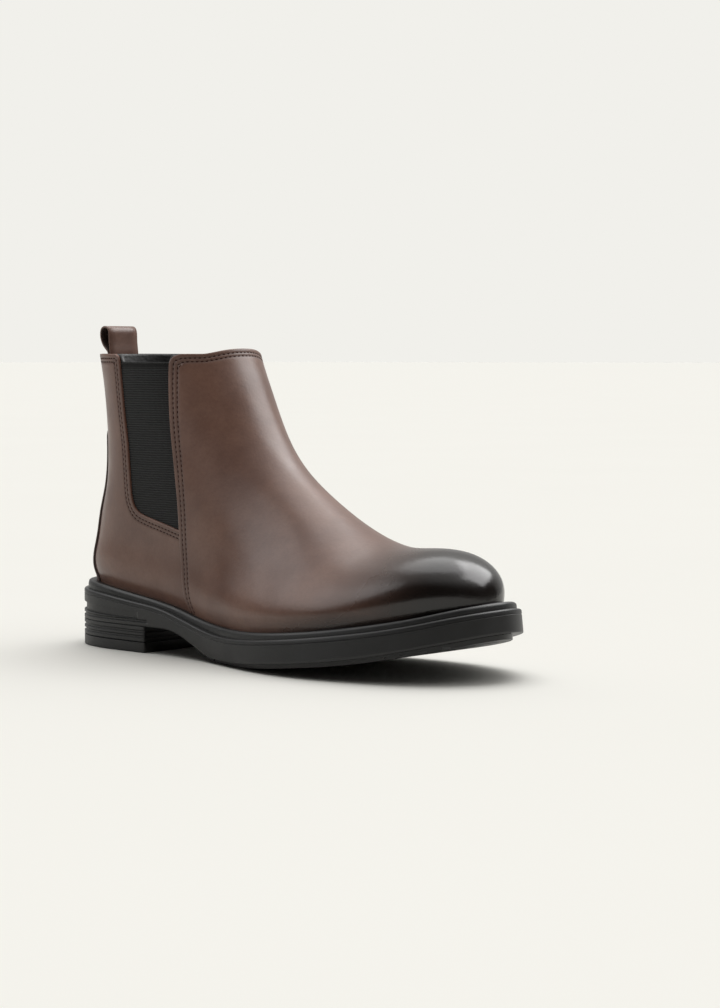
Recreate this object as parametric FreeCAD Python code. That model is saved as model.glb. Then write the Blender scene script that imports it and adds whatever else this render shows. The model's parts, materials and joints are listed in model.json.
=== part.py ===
"""Chelsea boot, right foot: elastic-sided leather ankle boot on a moulded unit sole.

Frame: origin on the floor under the middle of the bounding box, +X towards the toe,
+Y towards the wearer's left (the inner side of a right foot), +Z up. Millimetres.
The shape is first described with x measured from the back of the heel, and every
solid is moved to the final frame when it is written.
"""
import FreeCAD
import Part
import functools
import math
import os

V = FreeCAD.Vector

# ---- driving dimensions ----
SOLE_LENGTH = 306.0          # toe tip to back of heel, about an EU 43
COLLAR_Z = 170.0             # top edge of the shaft
HEEL_LENGTH = 75.5           # back of heel to the breast
ARCH_Z = 15.2                # underside of the sole over the heel and arch
TOP_LIFT_Z = 6.2             # thickness of the rubber lift that touches the floor
HEEL_GROOVES = (9.1, 12.1)   # heights of the grooves round the heel block
GROOVE = (1.7, 0.9)          # their height and depth
OUTSOLE_GROOVE = 18.2        # height of the one above them, in the sole
RECESS_DEPTH = 1.3           # plain band round the heel, above the grooves
TREAD = 2.6                  # forefoot tread below the sole's underside
TREAD_INSET = 4.5
WELT_INSET = 2.6             # ledge between the sole's edge and the storm welt
OUTER_PLY = (-0.25, 1.05)    # vamp and back stay lie over the quarters
QUARTER_PLY = (-1.55, -0.30)
INNER_PLY = (-2.85, -1.65)   # gussets, heel counter, loop tails
LINING_PLY = (-3.95, -2.90)
STRAP_WIDTH = 22.0           # pull loop
LOOP_X = 17.2                # where the strap enters the collar
FOOT_RADIUS = 1.25
LOOP_CLEARANCE = 1.0         # room for the strap to swing over the collar
SEAM_ALLOWANCE = 8.0         # how far a panel runs under the next one
VAMP_CORNER = 6.0            # rounding of the panels' top corners
QUARTER_CORNER = 3.5
BACK_STAY_HALF = 22.5
BACK_STAY_TOP = 132.0
GUSSET_TOP = 165.5
COLLAR_RISE = 3.2            # how much higher the collar is at the front
TUCK = 1.8                   # how far the upper draws in just above the welt
INSOLE_GAP = 1.4             # between the lining and the layers underfoot
INSOLE = (2.5, 5.0, 8.0, 9.2)   # tops of filler, board, foam and sock above the sole
CLOSURE = 2.6                # exponent of the rounded closures
TOE_CLOSURE = 2.25
HEEL_ROUND = 52.0            # depth over which the heel rounds off
TOE_ROUND = 78.0             # depth over which the toe rounds off
TOE_X = 296.8                # front of the upper
TOE_SWING = 5.4              # how far the toe points inwards


# ---- numeric helpers ----
def natural_spline(points):
    """Natural cubic through (t, value) pairs, continued as straight lines."""
    count = len(points)
    ts = [p[0] for p in points]
    vs = [p[1] for p in points]
    upper = [0.0] * count
    diag = [1.0] * count
    right = [0.0] * count
    for i in range(1, count - 1):
        before = ts[i] - ts[i - 1]
        after = ts[i + 1] - ts[i]
        slope_change = (vs[i + 1] - vs[i]) / after - (vs[i] - vs[i - 1]) / before
        factor = before / diag[i - 1]
        upper[i] = after
        diag[i] = 2 * (before + after) - factor * upper[i - 1]
        right[i] = 6 * slope_change - factor * right[i - 1]
    moment = [0.0] * count
    for i in range(count - 2, 0, -1):
        moment[i] = (right[i] - upper[i] * moment[i + 1]) / diag[i]

    def value(t):
        if t <= ts[0]:
            step = ts[1] - ts[0]
            return vs[0] + ((vs[1] - vs[0]) / step - step * moment[1] / 6) * (t - ts[0])
        if t >= ts[-1]:
            step = ts[-1] - ts[-2]
            return vs[-1] + ((vs[-1] - vs[-2]) / step + step * moment[-2] / 6) * (t - ts[-1])
        i = 0
        while ts[i + 1] < t:
            i += 1
        step = ts[i + 1] - ts[i]
        past = t - ts[i]
        left = ts[i + 1] - t
        bend = (moment[i] * left ** 3 + moment[i + 1] * past ** 3) / (6 * step)
        low = (vs[i] / step - moment[i] * step / 6) * left
        high = (vs[i + 1] / step - moment[i + 1] * step / 6) * past
        return bend + low + high
    return value


def clamp(value, low, high):
    return max(low, min(high, value))


def smooth(t):
    t = clamp(t, 0.0, 1.0)
    return t * t * (3 - 2 * t)


# ---- sole lines: plan outline of the edge, and heights along x ----
EDGE_LATERAL = [(0, 0), (2.6, 14), (11, 26), (24, 33.6), (40, 36.8), (62, 37.2), (90, 37),
                (120, 39.5), (150, 46.5), (175, 52.5), (198, 55), (222, 53.5), (246, 48),
                (268, 40), (286, 28.8), (299, 13.5), (304.6, 0)]
EDGE_MEDIAL = [(2.6, 14), (11, 26), (24, 33), (40, 36), (62, 36), (90, 34.5), (120, 34.5),
               (150, 39.5), (180, 47.5), (207, 53.5), (232, 55.5), (256, 53), (277, 46),
               (293, 34.5), (302.5, 21.5), (SOLE_LENGTH, 9)]
edge_top = natural_spline([(0, 33.2), (20, 32.6), (37, 31.8), (55, 30), (72, 28.3), (86, 26.6),
                           (103, 22.8), (122, 18.4), (138, 16.2), (155, 15.8), (180, 17.4),
                           (202, 19.6), (234, 23.6), (260, 27.6), (281, 32), (297, 36.2),
                           (SOLE_LENGTH, 38.4)])
welt_top = natural_spline([(0, 38), (32, 36.8), (47, 35.2), (64, 33), (81, 30.6), (99, 27.4),
                           (117, 23.4), (138, 20.8), (160, 20.3), (180, 21.2), (201, 22.9),
                           (234, 26.8), (260, 31), (281, 35.3), (297, 39.6), (SOLE_LENGTH, 41.8)])
sole_under = natural_spline([(0, ARCH_Z), (45, ARCH_Z), (72, ARCH_Z), (84, ARCH_Z), (96, 14.6),
                             (108, 11.6), (120, 7.2), (132, 3.6), (144, 2.8), (158, 2.9),
                             (170, 3.5), (189, 5.2), (218, 8.3), (248, 12.4), (271, 17),
                             (290, 21.6), (SOLE_LENGTH, 26)])

# ---- last lines: side view of the upper, and its half-widths ----
RIDGE = [(108, 205), (113.5, 188), (119.8, 170), (127.8, 153.5), (136, 137), (146.3, 120),
         (158, 107.3), (172, 96.3), (190, 84.6), (204, 76.9), (219, 70.4), (236, 66.7),
         (252, 68.1), (266, 70.8), (279, 72), (294, 71.2), (320, 68)]
heel_curve = natural_spline([(30, 7.2), (38, 6.4), (47, 5), (60, 7.6), (80, 13.4), (92, 17.8),
                             (104, 20.4), (118, 21.2), (136, 20.6), (155, 18.5), (COLLAR_Z, 15.6),
                             (190, 11.5)])
low_lateral = natural_spline([(0, 31), (40, 31), (80, 31), (110, 32.6), (140, 38), (170, 45.2),
                              (198, 48.8), (225, 48.6), (250, 45.6), (300, 42.5)])
low_medial = natural_spline([(0, 30.6), (40, 30.4), (80, 29.2), (110, 28.4), (140, 31.6), (170, 38.6),
                             (200, 45.6), (230, 48), (255, 43.2), (300, 40.5)])
high_width = natural_spline([(0, 38), (60, 38.5), (100, 37), (130, 33), (160, 30), (190, 32),
                             (220, 36), (250, 40), (300, 42)])
side_height = natural_spline([(0, 75), (90, 75), (130, 72), (160, 62), (190, 52), (220, 40),
                              (250, 34), (300, 30)])
ridge_round = natural_spline([(0, 60), (0.2, 60), (0.35, 50), (0.5, 40), (0.62, 36),
                              (0.75, 32), (1, 30)])


def dense_curve(points, per_span):
    """Smooth curve through side-view points, as evenly spaced points."""
    length = [0.0]
    for a, b in zip(points, points[1:]):
        length.append(length[-1] + math.hypot(b[0] - a[0], b[1] - a[1]))
    along_x = natural_spline([(t, p[0]) for t, p in zip(length, points)])
    along_z = natural_spline([(t, p[1]) for t, p in zip(length, points)])
    count = (len(points) - 1) * per_span
    steps = [length[-1] * i / count for i in range(count + 1)]
    return [(along_x(t), along_z(t)) for t in steps]


RIDGE_CURVE = dense_curve(RIDGE, 6)


def ridge_distance(x, z):
    """Distance inside the instep line, and how far along it the nearest point lies."""
    best = 1e9
    inside = 1.0
    along = 0.0
    for i in range(len(RIDGE_CURVE) - 1):
        ax, az = RIDGE_CURVE[i]
        dx = RIDGE_CURVE[i + 1][0] - ax
        dz = RIDGE_CURVE[i + 1][1] - az
        t = clamp(((x - ax) * dx + (z - az) * dz) / (dx * dx + dz * dz), 0.0, 1.0)
        ex = x - ax - t * dx
        ez = z - az - t * dz
        gap = ex * ex + ez * ez
        if gap < best:
            best = gap
            inside = 1.0 if dx * ez - dz * ex < 0 else -1.0
            along = (i + t) / (len(RIDGE_CURVE) - 1)
    return inside * math.sqrt(best), along


def fullness(x, z):
    """1 on the flanks, falling to 0 at the instep line, the toe and the heel curve."""
    depth, along = ridge_distance(x, z)
    over_ridge = clamp(1 - depth / ridge_round(along), 0, 2) ** CLOSURE
    over_toe = clamp(1 - (TOE_X - x) / TOE_ROUND, 0, 2) ** TOE_CLOSURE
    over_heel = clamp(1 - (x - heel_curve(z)) / HEEL_ROUND, 0, 2) ** CLOSURE
    return 1 - over_ridge - over_toe - over_heel


def flank(x, z, side):
    """Half-width of the last away from its rounded ends."""
    above = z - welt_top(x)
    low = (low_lateral if side < 0 else low_medial)(x)
    rise = smooth((above - 4) / side_height(x))
    width = low + (high_width(x) - low) * rise
    width += 1.6 * math.exp(-((above - 14) / 12) ** 2) * (1 - rise)
    width -= math.exp(-((z - 105) / 26) ** 2) * (1 - smooth((x - 60) / 60))
    width -= TUCK * math.exp(-(max(above, 0) / 5) ** 2)
    if z > 100:
        width += 1.2 * ((z - 100) / 76) ** 2
    return width


def half_width(x, z, side):
    return flank(x, z, side) * math.sqrt(max(0.0, fullness(x, z)))


def middle(x):
    """Sideways position of the last's centre line."""
    return TOE_SWING * smooth((x - 190) / 110)


def outward(x, z, side):
    """Outward direction of the last at a side-view point, as unit (x, y, z)."""
    h = 0.05

    def squared(px, pz):
        return flank(px, pz, side) ** 2 * fullness(px, pz)
    nx = (squared(x - h, z) - squared(x + h, z)) / (2 * h)
    nz = (squared(x, z - h) - squared(x, z + h)) / (2 * h)
    ny = 2 * side * half_width(x, z, side)
    nx -= ny * (middle(x + h) - middle(x - h)) / (2 * h)
    size = math.sqrt(nx * nx + ny * ny + nz * nz)
    return nx / size, ny / size, nz / size


def edge_point(inner, outer):
    """Where the side view ends on the way from an inner point to an outer one."""
    low = 0.0
    high = 1.0
    for _ in range(40):
        mid = (low + high) / 2
        x = inner[0] + (outer[0] - inner[0]) * mid
        z = inner[1] + (outer[1] - inner[1]) * mid
        if fullness(x, z) > 0:
            low = mid
        else:
            high = mid
    return (inner[0] + (outer[0] - inner[0]) * low, inner[1] + (outer[1] - inner[1]) * low)


# Rings climb from the welt (v = 0) to above the collar (v = 1).
RING_TOP = COLLAR_Z + 4
SPINE = [(250, 35), (248, 45), (235, 50), (205, 52), (175, 56), (145, 65), (110, 85),
         (85, 110), (72, 140), (66, RING_TOP)]
REACH = [(320, 38), (325, 58), (300, 90), (255, 100), (225, 105), (200, 120), (185, 140),
         (165, 152), (152, 162), (142, RING_TOP)]
PARTS = [i / (len(SPINE) - 1) for i in range(len(SPINE))]
spine_x = natural_spline([(t, p[0]) for t, p in zip(PARTS, SPINE)])
spine_z = natural_spline([(t, p[1]) for t, p in zip(PARTS, SPINE)])
reach_x = natural_spline([(t, p[0]) for t, p in zip(PARTS, REACH)])
reach_z = natural_spline([(t, p[1]) for t, p in zip(PARTS, REACH)])
heel_level = natural_spline([(0, 36), (0.12, 42), (0.3, 52), (0.5, 70), (0.7, 103),
                             (0.85, 138), (1, RING_TOP)])


@functools.lru_cache(maxsize=None)
def ring_ends(v):
    """Side-view points where ring v meets the heel curve and the instep line."""
    front = edge_point((spine_x(v), spine_z(v)), (reach_x(v), reach_z(v)))
    rear = edge_point((60, heel_level(v)), (-20, heel_level(v)))
    return rear, front


def ring_side(v, u):
    """Side-view point of ring v at angle u (0 at the heel curve, pi at the instep line)."""
    rear, front = ring_ends(v)
    part = (1 - math.cos(u)) / 2
    x = rear[0] + (front[0] - rear[0]) * part
    straight = rear[1] + (front[1] - rear[1]) * part
    follow = rear[1] - welt_top(rear[0])
    follow = welt_top(x) + follow * (1 - part) + (front[1] - welt_top(front[0])) * part
    blend = smooth(v / 0.75)
    return x, follow * (1 - blend) + straight * blend


def surface_point(v, u, offset):
    """Point of the upper at an offset from its outer face.

    u runs from -pi to pi; negative u is the outer (lateral) side.
    """
    side = -1 if u < 0 else 1
    x, z = ring_side(v, abs(u))
    z -= 6.0 * (1 - smooth(v / 0.1))
    nx, ny, nz = outward(x, z, side)
    if abs(math.sin(u)) < 1e-6:
        return V(x + nx * offset, middle(x), z + nz * offset)
    y = middle(x) + side * half_width(x, z, side)
    return V(x + nx * offset, y + ny * offset, z + nz * offset)


# ---- solids from lines ----
WIDE = 90.0                    # half-width that clears the boot on both sides


def curve(points, closed=False):
    spline = Part.BSplineCurve()
    if closed:
        spline.interpolate(Points=points, PeriodicFlag=True)
    else:
        spline.interpolate(points)
    return spline.toShape()


def side_prism(points):
    """Solid with a polygonal side view, wider than the boot."""
    wire = Part.makePolygon([V(x, -WIDE, z) for x, z in points + points[:1]])
    return Part.Face(wire).extrude(V(0, 2 * WIDE, 0))


def band(lower, upper, x_low, x_high, spacing=9.0):
    """Solid between two height functions of x, wider than the boot."""
    count = max(6, int((x_high - x_low) / spacing))
    xs = [x_low + (x_high - x_low) * i / count for i in range(count + 1)]
    bottom = curve([V(x, -WIDE, lower(x)) for x in xs])
    top = curve([V(x, -WIDE, upper(x)) for x in xs])
    low_a, low_b = bottom.valueAt(bottom.FirstParameter), bottom.valueAt(bottom.LastParameter)
    top_a, top_b = top.valueAt(top.FirstParameter), top.valueAt(top.LastParameter)
    ends = [Part.makeLine(low_b, top_b), Part.makeLine(low_a, top_a)]
    wire = Part.Wire(Part.__sortEdges__([bottom, top] + ends))
    return Part.Face(wire).extrude(V(0, 2 * WIDE, 0))


def edge_outline(inset):
    """Plan points of the sole's edge moved inwards."""
    ring = [(x, -y) for x, y in reversed(EDGE_LATERAL)] + EDGE_MEDIAL
    length = [0.0]
    closed = ring[-3:] + ring + ring[:3]
    for a, b in zip(closed, closed[1:]):
        length.append(length[-1] + math.hypot(b[0] - a[0], b[1] - a[1]))
    along_x = natural_spline([(t, p[0]) for t, p in zip(length, closed)])
    along_y = natural_spline([(t, p[1]) for t, p in zip(length, closed)])
    start, end = length[3], length[-3]
    count = 64
    out = []
    for i in range(count):
        t = start + (end - start) * i / count
        dx = along_x(t + 0.1) - along_x(t - 0.1)
        dy = along_y(t + 0.1) - along_y(t - 0.1)
        size = math.hypot(dx, dy)
        out.append((along_x(t) + dy / size * inset, along_y(t) - dx / size * inset))
    return out


def feather_outline(offset, rise):
    """Plan points of the upper near the welt, at a ply offset."""
    rear = edge_point((60, welt_top(0) + rise), (-20, welt_top(0) + rise))
    front = edge_point((250, welt_top(250) + rise), (330, welt_top(330) + rise))
    out = []
    count = 60
    for i in range(count):
        u = -math.pi + 2 * math.pi * i / count
        x = rear[0] + (front[0] - rear[0]) * (1 - math.cos(u)) / 2
        side = -1 if u < 0 else 1
        z = welt_top(x) + rise
        y = middle(x)
        if abs(math.sin(u)) > 1e-6:
            y += side * half_width(x, z, side)
        nx, ny, nz = outward(x, z, side)
        flat = math.hypot(nx, ny)
        out.append((x + nx / flat * offset, y + ny / flat * offset))
    return out


def plan_prism(outline, z_low=-10.0, z_high=60.0):
    wire = Part.Wire([curve([V(x, y, z_low) for x, y in outline], closed=True)])
    return Part.Face(wire).extrude(V(0, 0, z_high - z_low))


def sheet(ply, v_low, v_high, u_low, u_high, v_count, u_count):
    """Curved sheet of the upper between two offsets."""
    vs = [v_low + (v_high - v_low) * i / v_count for i in range(v_count + 1)]
    us = [u_low + (u_high - u_low) * i / u_count for i in range(u_count + 1)]
    surfaces = []
    for offset in ply:
        grid = [[surface_point(v, wrap(u), offset) for u in us] for v in vs]
        surface = Part.BSplineSurface()
        surface.interpolate(grid)
        surfaces.append(surface)
    inner, outer = surfaces
    faces = [inner.toShape(), outer.toShape()]
    for surface_iso in ("uIso", "vIso"):
        for at in (0, 1):
            pair = [getattr(s, surface_iso)(s.bounds()[{"uIso": 0, "vIso": 2}[surface_iso] + at])
                    for s in (inner, outer)]
            faces.append(Part.makeRuledSurface(pair[0].toShape(), pair[1].toShape()))
    shell = Part.makeCompound(faces)
    shell.sewShape(1e-3)
    solid = Part.makeSolid(shell.Shells[0])
    if solid.Volume < 0:
        solid.reverse()
    return solid


def wrap(u):
    """Angle brought back to -pi..pi."""
    while u > math.pi:
        u -= 2 * math.pi
    while u < -math.pi:
        u += 2 * math.pi
    return u


# ---- side-view lines of the panels ----
vamp_edge = natural_spline([(10, 112), (20, 109), (38, 105.5), (58, 103.2), (77, 103.3),
                            (94, 102.8), (110, 100.8), (128, 97.8), (145, 95.6), (160, 94.2),
                            (COLLAR_Z, 93.8), (190, 93.5)])
gusset_rear = natural_spline([(70, 63.8), (85, 63.5), (99, 63.2), (118, 62.2), (137, 60),
                              (COLLAR_Z, 57), (190, 55)])
gusset_low = natural_spline([(50, 86), (63.5, 81.5), (72, 78.6), (86, 75), (103, 70.8), (115, 68)])


def upper_zone(top):
    """Everything between the sole's edge and the collar's line; top is its height at the back."""
    return band(edge_top, lambda x: top + COLLAR_RISE * smooth((x - 109) / 12), -8, 314, spacing=4)


def ahead_of(line, shift, top=190.0):
    """Solid in front of a side-view line given as x by z."""
    levels = [8 + (top - 8) * i / 14 for i in range(15)]
    return side_prism([(line(z) + shift, z) for z in levels] + [(330, top), (330, 8)])


def above(line, shift, x_low, x_high):
    """Solid above a side-view line given as z by x."""
    xs = [x_low + (x_high - x_low) * i / 12 for i in range(13)]
    return side_prism([(x, line(x) + shift) for x in xs] + [(x_high, 200), (x_low, 200)])


def gusset_window(grow, top):
    """Side-view opening between quarter and vamp, or the gusset that fills it."""
    column = ahead_of(gusset_rear, -grow).cut(ahead_of(vamp_edge, grow))
    column = column.common(above(gusset_low, -grow, 40, 125))
    return column.common(box(30, 130, -90, 90, 20, top))


def box(x_low, x_high, y_low, y_high, z_low, z_high):
    size = (x_high - x_low, y_high - y_low, z_high - z_low)
    return Part.makeBox(*size, V(x_low, y_low, z_low))


# ---- upper ----
REAR_TURN = 0.8 * math.pi      # how far the sheets of the shaft's back reach round


def front_sheet(ply):
    return sheet(ply, 0.0, 1.0, 0.3 * math.pi, 1.7 * math.pi, 18, 44)


def rear_sheet(ply):
    return sheet(ply, 0.0, 1.0, -REAR_TURN, REAR_TURN, 18, 44)


def top_corner(x, radius, side):
    """What rounding a panel's top corner takes away; side is +1 if the panel lies ahead of x."""
    z = COLLAR_Z - radius
    block = box(min(x, x + side * radius), max(x, x + side * radius), -90, 90, z, COLLAR_Z + 2)
    drum = Part.makeCylinder(radius, 180, V(x + side * radius, -90, z), V(0, 1, 0))
    return block.cut(drum)


def vamp():
    """Whole front: toe, instep and shaft front, one piece of leather."""
    panel = front_sheet(OUTER_PLY).common(upper_zone(COLLAR_Z))
    panel = panel.common(ahead_of(vamp_edge, 0))
    corner = top_corner(vamp_edge(COLLAR_Z) - 0.1, VAMP_CORNER, 1)
    return biggest(panel.cut(corner))


def toe_puff(ply):
    """Stiffener under the toe of the vamp."""
    return ply.common(upper_zone(COLLAR_Z)).common(box(247, 330, -90, 90, 0, 190))


def vamp_interlining(ply):
    """Thin reinforcement under the vamp between the quarters and the toe puff."""
    panel = ply.common(upper_zone(COLLAR_Z - 1)).common(ahead_of(vamp_edge, SEAM_ALLOWANCE + 1))
    return panel.common(box(60, 246, -90, 90, 0, 190))


def quarter(ply, side):
    """Leather from the back seam round to the vamp, with the window for the gusset."""
    half = box(-10, 150, 0.1, 90, 0, 190) if side > 0 else box(-10, 150, -90, -0.1, 0, 190)
    panel = ply.common(upper_zone(COLLAR_Z)).common(half)
    panel = panel.cut(ahead_of(vamp_edge, SEAM_ALLOWANCE))
    panel = panel.cut(gusset_window(0, 190))
    corner = top_corner(gusset_rear(COLLAR_Z) + 0.1, QUARTER_CORNER, -1)
    return biggest(panel.cut(corner))


def gusset(ply, side):
    """Elastic panel that stretches to let the foot in."""
    half = box(-10, 150, 0, 90, 0, 190) if side > 0 else box(-10, 150, -90, 0, 0, 190)
    return ply.common(gusset_window(SEAM_ALLOWANCE, GUSSET_TOP)).common(half)


def back_stay():
    """Strip over the back seam."""
    strip = sheet(OUTER_PLY, 0.0, 1.0, -0.25 * math.pi, 0.25 * math.pi, 18, 12)
    strip = strip.common(upper_zone(BACK_STAY_TOP))
    return strip.common(box(-10, 60, -BACK_STAY_HALF, BACK_STAY_HALF, 0, 190))


def heel_counter(ply):
    """Stiff cup round the heel, between quarter and lining."""
    cup = side_prism([(-10, 10), (84, 10), (80, 46), (52, 60), (34, 70), (-10, 72)])
    return ply.common(upper_zone(COLLAR_Z)).common(cup)


def loop_tails(ply):
    """Ends of the pull strap, sewn between quarter and lining."""
    half = STRAP_WIDTH / 2
    return ply.common(box(-10, 50, -half, half, COLLAR_Z - 22, COLLAR_Z - 0.3))


def lining_front():
    panel = front_sheet(LINING_PLY).common(upper_zone(COLLAR_Z - 0.5))
    return panel.common(ahead_of(lambda z: 90.0, 0))


def lining_rear():
    panel = rear_sheet(LINING_PLY).common(upper_zone(COLLAR_Z - 0.5))
    return panel.cut(ahead_of(lambda z: 89.9, 0))


def pull_loop():
    """Folded strap that stands at the back of the collar and swings on its round foot."""
    base = COLLAR_Z + LOOP_CLEARANCE + FOOT_RADIUS
    left = LOOP_X - FOOT_RADIUS
    right = LOOP_X + FOOT_RADIUS
    outer = [(left, 0), (13.1, 1.5), (10.7, 3.9), (9.3, 7.2), (8.9, 10.2), (10.0, 13.2), (13.1, 14.4),
             (16.2, 13.3), (17.4, 10.4), (17.6, 6.8), (18, 3), (right, 0)]
    inner = [(16.1, 1.6), (13.7, 2.8), (11.7, 4.8), (10.5, 7.6), (10.1, 10.2), (11, 12.4), (13.1, 13.2),
             (15.2, 12.4), (16.2, 10.2), (16.4, 6.8), (16.7, 3.6)]
    rise = curve([V(x, 0, base + z) for x, z in outer])
    low = V(LOOP_X, 0, base - FOOT_RADIUS)
    foot = Part.Arc(V(right, 0, base), low, V(left, 0, base)).toShape()
    hole = curve([V(x, 0, base + z) for x, z in inner], closed=True)
    strap = Part.Face(Part.Wire([rise, foot])).cut(Part.Face(Part.Wire([hole])))
    strap = strap.Faces[0].extrude(V(0, STRAP_WIDTH, 0))
    strap.translate(V(0, -STRAP_WIDTH / 2, 0))
    return strap


# ---- bottom ----
def groove_ring(z, height, depth):
    """Shallow groove round the heel block."""
    slab = plan_prism(edge_outline(-2), z - height / 2, z + height / 2)
    core = plan_prism(edge_outline(depth), z - 5, z + 5)
    return slab.cut(core).common(box(-10, HEEL_LENGTH + 5, -90, 90, z - 5, z + 5))


def outsole():
    sole = plan_prism(edge_outline(0)).common(band(sole_under, edge_top, -8, 314))
    recess = plan_prism(edge_outline(-2), 15, 30).cut(plan_prism(edge_outline(RECESS_DEPTH), 14, 31))
    slope = band(lambda x: 21.0 - 0.027 * x, lambda x: 25.6 - 0.036 * x, -8, 70)
    sole = sole.cut(recess.common(slope))
    return sole.cut(groove_ring(OUTSOLE_GROOVE, *GROOVE))


def heel_zone(z_low, z_high):
    return box(-10, HEEL_LENGTH, -90, 90, z_low, z_high)


def heel_block(sole):
    block = plan_prism(edge_outline(0)).common(heel_zone(TOP_LIFT_Z, ARCH_Z + 1)).cut(sole)
    for z in HEEL_GROOVES:
        block = block.cut(groove_ring(z, *GROOVE))
    return biggest(block)


def heel_top_lift():
    lift = plan_prism(edge_outline(0.3)).common(heel_zone(0, TOP_LIFT_Z))
    for x in range(14, 66, 9):
        lift = lift.cut(box(x, x + 2.5, -22, 22, -1, 1.2))
    return lift


def forefoot_tread(sole):
    """Raised wear pad with cross grooves."""
    pad = plan_prism(edge_outline(TREAD_INSET))
    pad = pad.common(band(lambda x: sole_under(x) - TREAD, lambda x: sole_under(x) + 1, 124, 314))
    pad = biggest(pad.cut(sole).common(box(124, 314, -90, 90, 0, 60)))
    for x in range(134, 296, 9):
        low = sole_under(x + 1.5) - TREAD
        pad = pad.cut(box(x, x + 3, -38, 38, low - 3, low + 1.4))
    return pad


def storm_welt():
    """Raised welt that hides the joint of upper and sole."""
    ring = plan_prism(edge_outline(WELT_INSET)).cut(plan_prism(feather_outline(1.15, 0.5)))
    return ring.common(band(edge_top, welt_top, -8, 314))


def insole_layer(outline, low, high):
    """Layer inside the upper between two heights above the sole."""
    layer = band(lambda x: edge_top(x) + low, lambda x: edge_top(x) + high, -8, 314)
    return plan_prism(outline).common(layer)


def shank():
    """Steel strip under the arch."""
    strip = band(lambda x: edge_top(x) + 0.6, lambda x: edge_top(x) + 1.8, 50, 160)
    return strip.common(box(56, 152, -7, 7, 0, 90))


def rivet(x):
    low = edge_top(x) + 0.2
    return Part.makeCylinder(2.0, INSOLE[1] - 0.6, V(x, 0, low))


def biggest(shape):
    return max(shape.Solids, key=lambda s: s.Volume)


def build():
    parts = {}
    under = rear_sheet(QUARTER_PLY)
    under_front = front_sheet(QUARTER_PLY)
    inner = rear_sheet(INNER_PLY)
    parts["vamp"] = vamp()
    parts["quarter_lateral"] = quarter(under, -1)
    parts["quarter_medial"] = quarter(under, 1)
    parts["gusset_lateral"] = gusset(inner, -1)
    parts["gusset_medial"] = gusset(inner, 1)
    parts["back_stay"] = back_stay()
    parts["heel_counter"] = heel_counter(inner)
    parts["toe_puff"] = toe_puff(under_front)
    parts["vamp_interlining"] = vamp_interlining(under_front)
    parts["vamp_lining"] = lining_front()
    parts["quarter_lining"] = lining_rear()
    parts["pull_loop"] = pull_loop()
    parts["pull_loop_tails"] = loop_tails(inner)
    sole = outsole()
    parts["outsole"] = sole
    parts["heel_block"] = heel_block(sole)
    parts["heel_top_lift"] = heel_top_lift()
    parts["forefoot_tread"] = forefoot_tread(sole)
    parts["storm_welt"] = storm_welt()
    inside = feather_outline(LINING_PLY[0] - INSOLE_GAP, -5)
    strip = shank()
    rivets = [rivet(66), rivet(140)]
    for item in rivets:
        strip = strip.cut(item)
    filler = insole_layer(inside, 0, INSOLE[0]).cut(strip)
    board = insole_layer(inside, INSOLE[0], INSOLE[1])
    for item in rivets:
        filler = filler.cut(item)
        board = board.cut(item)
    parts["shank"] = strip
    parts["shank_rivet_rear"] = rivets[0]
    parts["shank_rivet_front"] = rivets[1]
    parts["bottom_filler"] = filler
    parts["insole_board"] = board
    parts["footbed_foam"] = insole_layer(inside, INSOLE[1], INSOLE[2])
    parts["sock_liner"] = insole_layer(inside, INSOLE[2], INSOLE[3])
    return parts


def final_shift():
    """Move that puts the origin on the floor under the middle of the sole."""
    ys = [y for x, y in edge_outline(0)]
    return V(-SOLE_LENGTH / 2, -(min(ys) + max(ys)) / 2, 0)


os.makedirs("parts", exist_ok=True)
SHIFT = final_shift()
for node, shape in build().items():
    solid = shape.copy()
    solid.translate(SHIFT)
    solid.exportStep("parts/" + node + ".step")
    print(node, solid.ShapeType, len(solid.Solids), solid.isValid(), round(solid.Volume))
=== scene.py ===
"""Chelsea boot, right foot: the visual model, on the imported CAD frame.

The shape is described in millimetres with x measured from the back of the heel, as in the
CAD source, and every mesh is moved to the row frame and to metres when it is made.
"""
import json
import math

import bpy
import numpy as np
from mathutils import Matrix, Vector, geometry

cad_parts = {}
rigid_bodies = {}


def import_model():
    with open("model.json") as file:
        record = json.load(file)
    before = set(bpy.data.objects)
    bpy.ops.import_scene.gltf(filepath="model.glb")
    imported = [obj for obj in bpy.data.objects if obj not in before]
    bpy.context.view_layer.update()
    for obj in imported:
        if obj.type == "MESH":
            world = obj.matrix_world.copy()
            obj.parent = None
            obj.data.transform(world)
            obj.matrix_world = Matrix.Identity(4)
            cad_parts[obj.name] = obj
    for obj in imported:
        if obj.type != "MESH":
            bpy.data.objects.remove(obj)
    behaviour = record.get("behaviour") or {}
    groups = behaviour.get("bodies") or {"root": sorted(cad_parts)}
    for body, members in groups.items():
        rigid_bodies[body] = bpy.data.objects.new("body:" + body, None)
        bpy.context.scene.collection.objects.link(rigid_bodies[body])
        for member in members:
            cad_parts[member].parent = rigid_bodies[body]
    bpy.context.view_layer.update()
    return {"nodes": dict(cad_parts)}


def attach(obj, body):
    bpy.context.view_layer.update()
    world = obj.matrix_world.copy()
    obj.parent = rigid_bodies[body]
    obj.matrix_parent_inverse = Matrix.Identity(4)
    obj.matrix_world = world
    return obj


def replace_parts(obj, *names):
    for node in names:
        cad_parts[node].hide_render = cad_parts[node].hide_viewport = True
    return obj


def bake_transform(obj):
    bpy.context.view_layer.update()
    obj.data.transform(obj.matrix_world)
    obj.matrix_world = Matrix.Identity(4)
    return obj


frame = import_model()

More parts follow.
